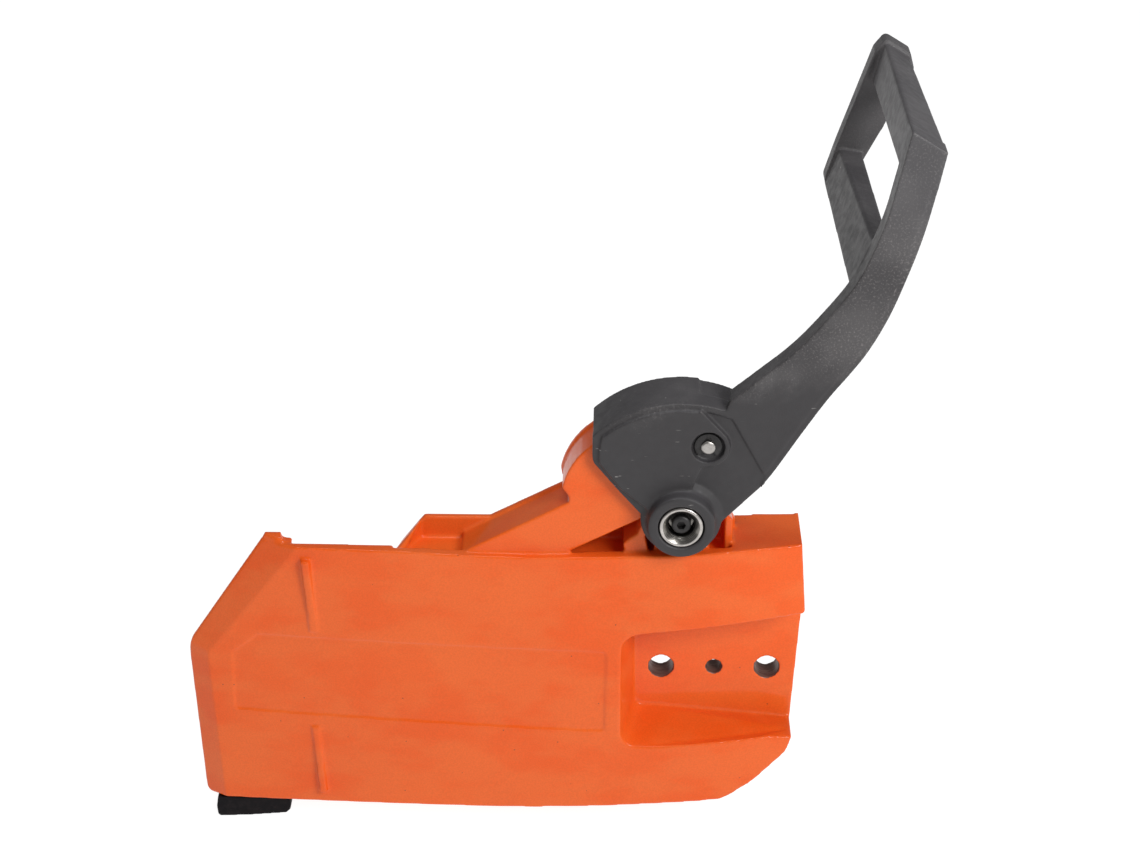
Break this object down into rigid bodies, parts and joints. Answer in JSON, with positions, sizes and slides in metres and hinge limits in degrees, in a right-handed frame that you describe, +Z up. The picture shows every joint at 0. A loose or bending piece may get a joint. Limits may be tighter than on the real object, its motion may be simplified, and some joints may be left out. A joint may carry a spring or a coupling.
{
  "type": "chainsaw clutch cover with chain brake and hand guard",
  "caption": "Clutch cover of a chainsaw: painted shell over the drum, with a brake band, its spring and knee linkage, and a tall pivoting front hand guard.",
  "frame": {"origin": "midway between the two bar stud holes, on the face that clamps the guide bar", "axes": "+X forward along the guide bar, +Y into the saw body, +Z up; the painted outer face looks to -Y"},
  "size_m": [0.256, 0.115, 0.269],
  "materials": {
    "orange_paint": "glossy orange paint on a die casting",
    "guard_plastic": "fine grained dark grey, dusty",
    "bright_steel": "turned, bright",
    "black_steel": "blackened",
    "spring_steel": "oiled, dark",
    "zinc_steel": "dull zinc",
    "rubber": "matt black"
  },
  "bodies": {
    "cover": {"clutch_cover": "orange_paint", "pivot_sleeve": "bright_steel", "pivot_screw": "black_steel", "thrust_washer": "zinc_steel", "pivot_nut": "zinc_steel", "knee_pivot_pin": "bright_steel", "spring_seat": "zinc_steel", "brake_spring": "spring_steel", "brake_band": "spring_steel", "band_anchor_pin": "bright_steel", "brake_cover_plate": "black_steel", "cover_plate_screw_1": "zinc_steel", "cover_plate_screw_2": "zinc_steel", "cover_plate_screw_3": "zinc_steel", "cover_plate_screw_4": "zinc_steel", "chip_deflector": "rubber", "deflector_screw_1": "zinc_steel", "deflector_screw_2": "zinc_steel"},
    "guard": {"hand_guard": "guard_plastic", "guard_link_pin": "bright_steel", "e_clip": "black_steel"},
    "lever": {"knee_lever": "zinc_steel", "knee_pin": "bright_steel"},
    "link": {"knee_link": "zinc_steel", "crosshead_pin": "bright_steel"},
    "slider": {"crosshead": "zinc_steel", "pull_rod": "zinc_steel"}
  },
  "joints": [
    {"name": "guard_hinge", "type": "hinge", "parent": "cover", "child": "guard", "pos_m": [-0.0136, -0.029, 0.0703], "axis": [0, -1, 0], "range_deg": [0, 11]},
    {"name": "knee_hinge", "type": "hinge", "parent": "cover", "child": "lever", "pos_m": [-0.00709, -0.0145, 0.08841], "axis": [0, -1, 0], "range_deg": [0, 29.1]},
    {"name": "link_hinge", "type": "hinge", "parent": "lever", "child": "link", "pos_m": [-0.02408, -0.0145, 0.08871], "axis": [0, 1, 0], "range_deg": [0, 54.91]},
    {"name": "spring_slide", "type": "slide", "parent": "cover", "child": "slider", "axis": [0.8829, 0, 0.4695], "range_m": [-0.00411, 0], "deforming": ["brake_spring"]}
  ],
  "couplings": [
    {"joint": "knee_hinge", "follows": "guard_hinge", "ratio": 2.6364},
    {"joint": "link_hinge", "follows": "guard_hinge", "ratio": 4.9734},
    {"joint": "spring_slide", "follows": "guard_hinge", "m_per_rad": -0.020898}
  ]
}
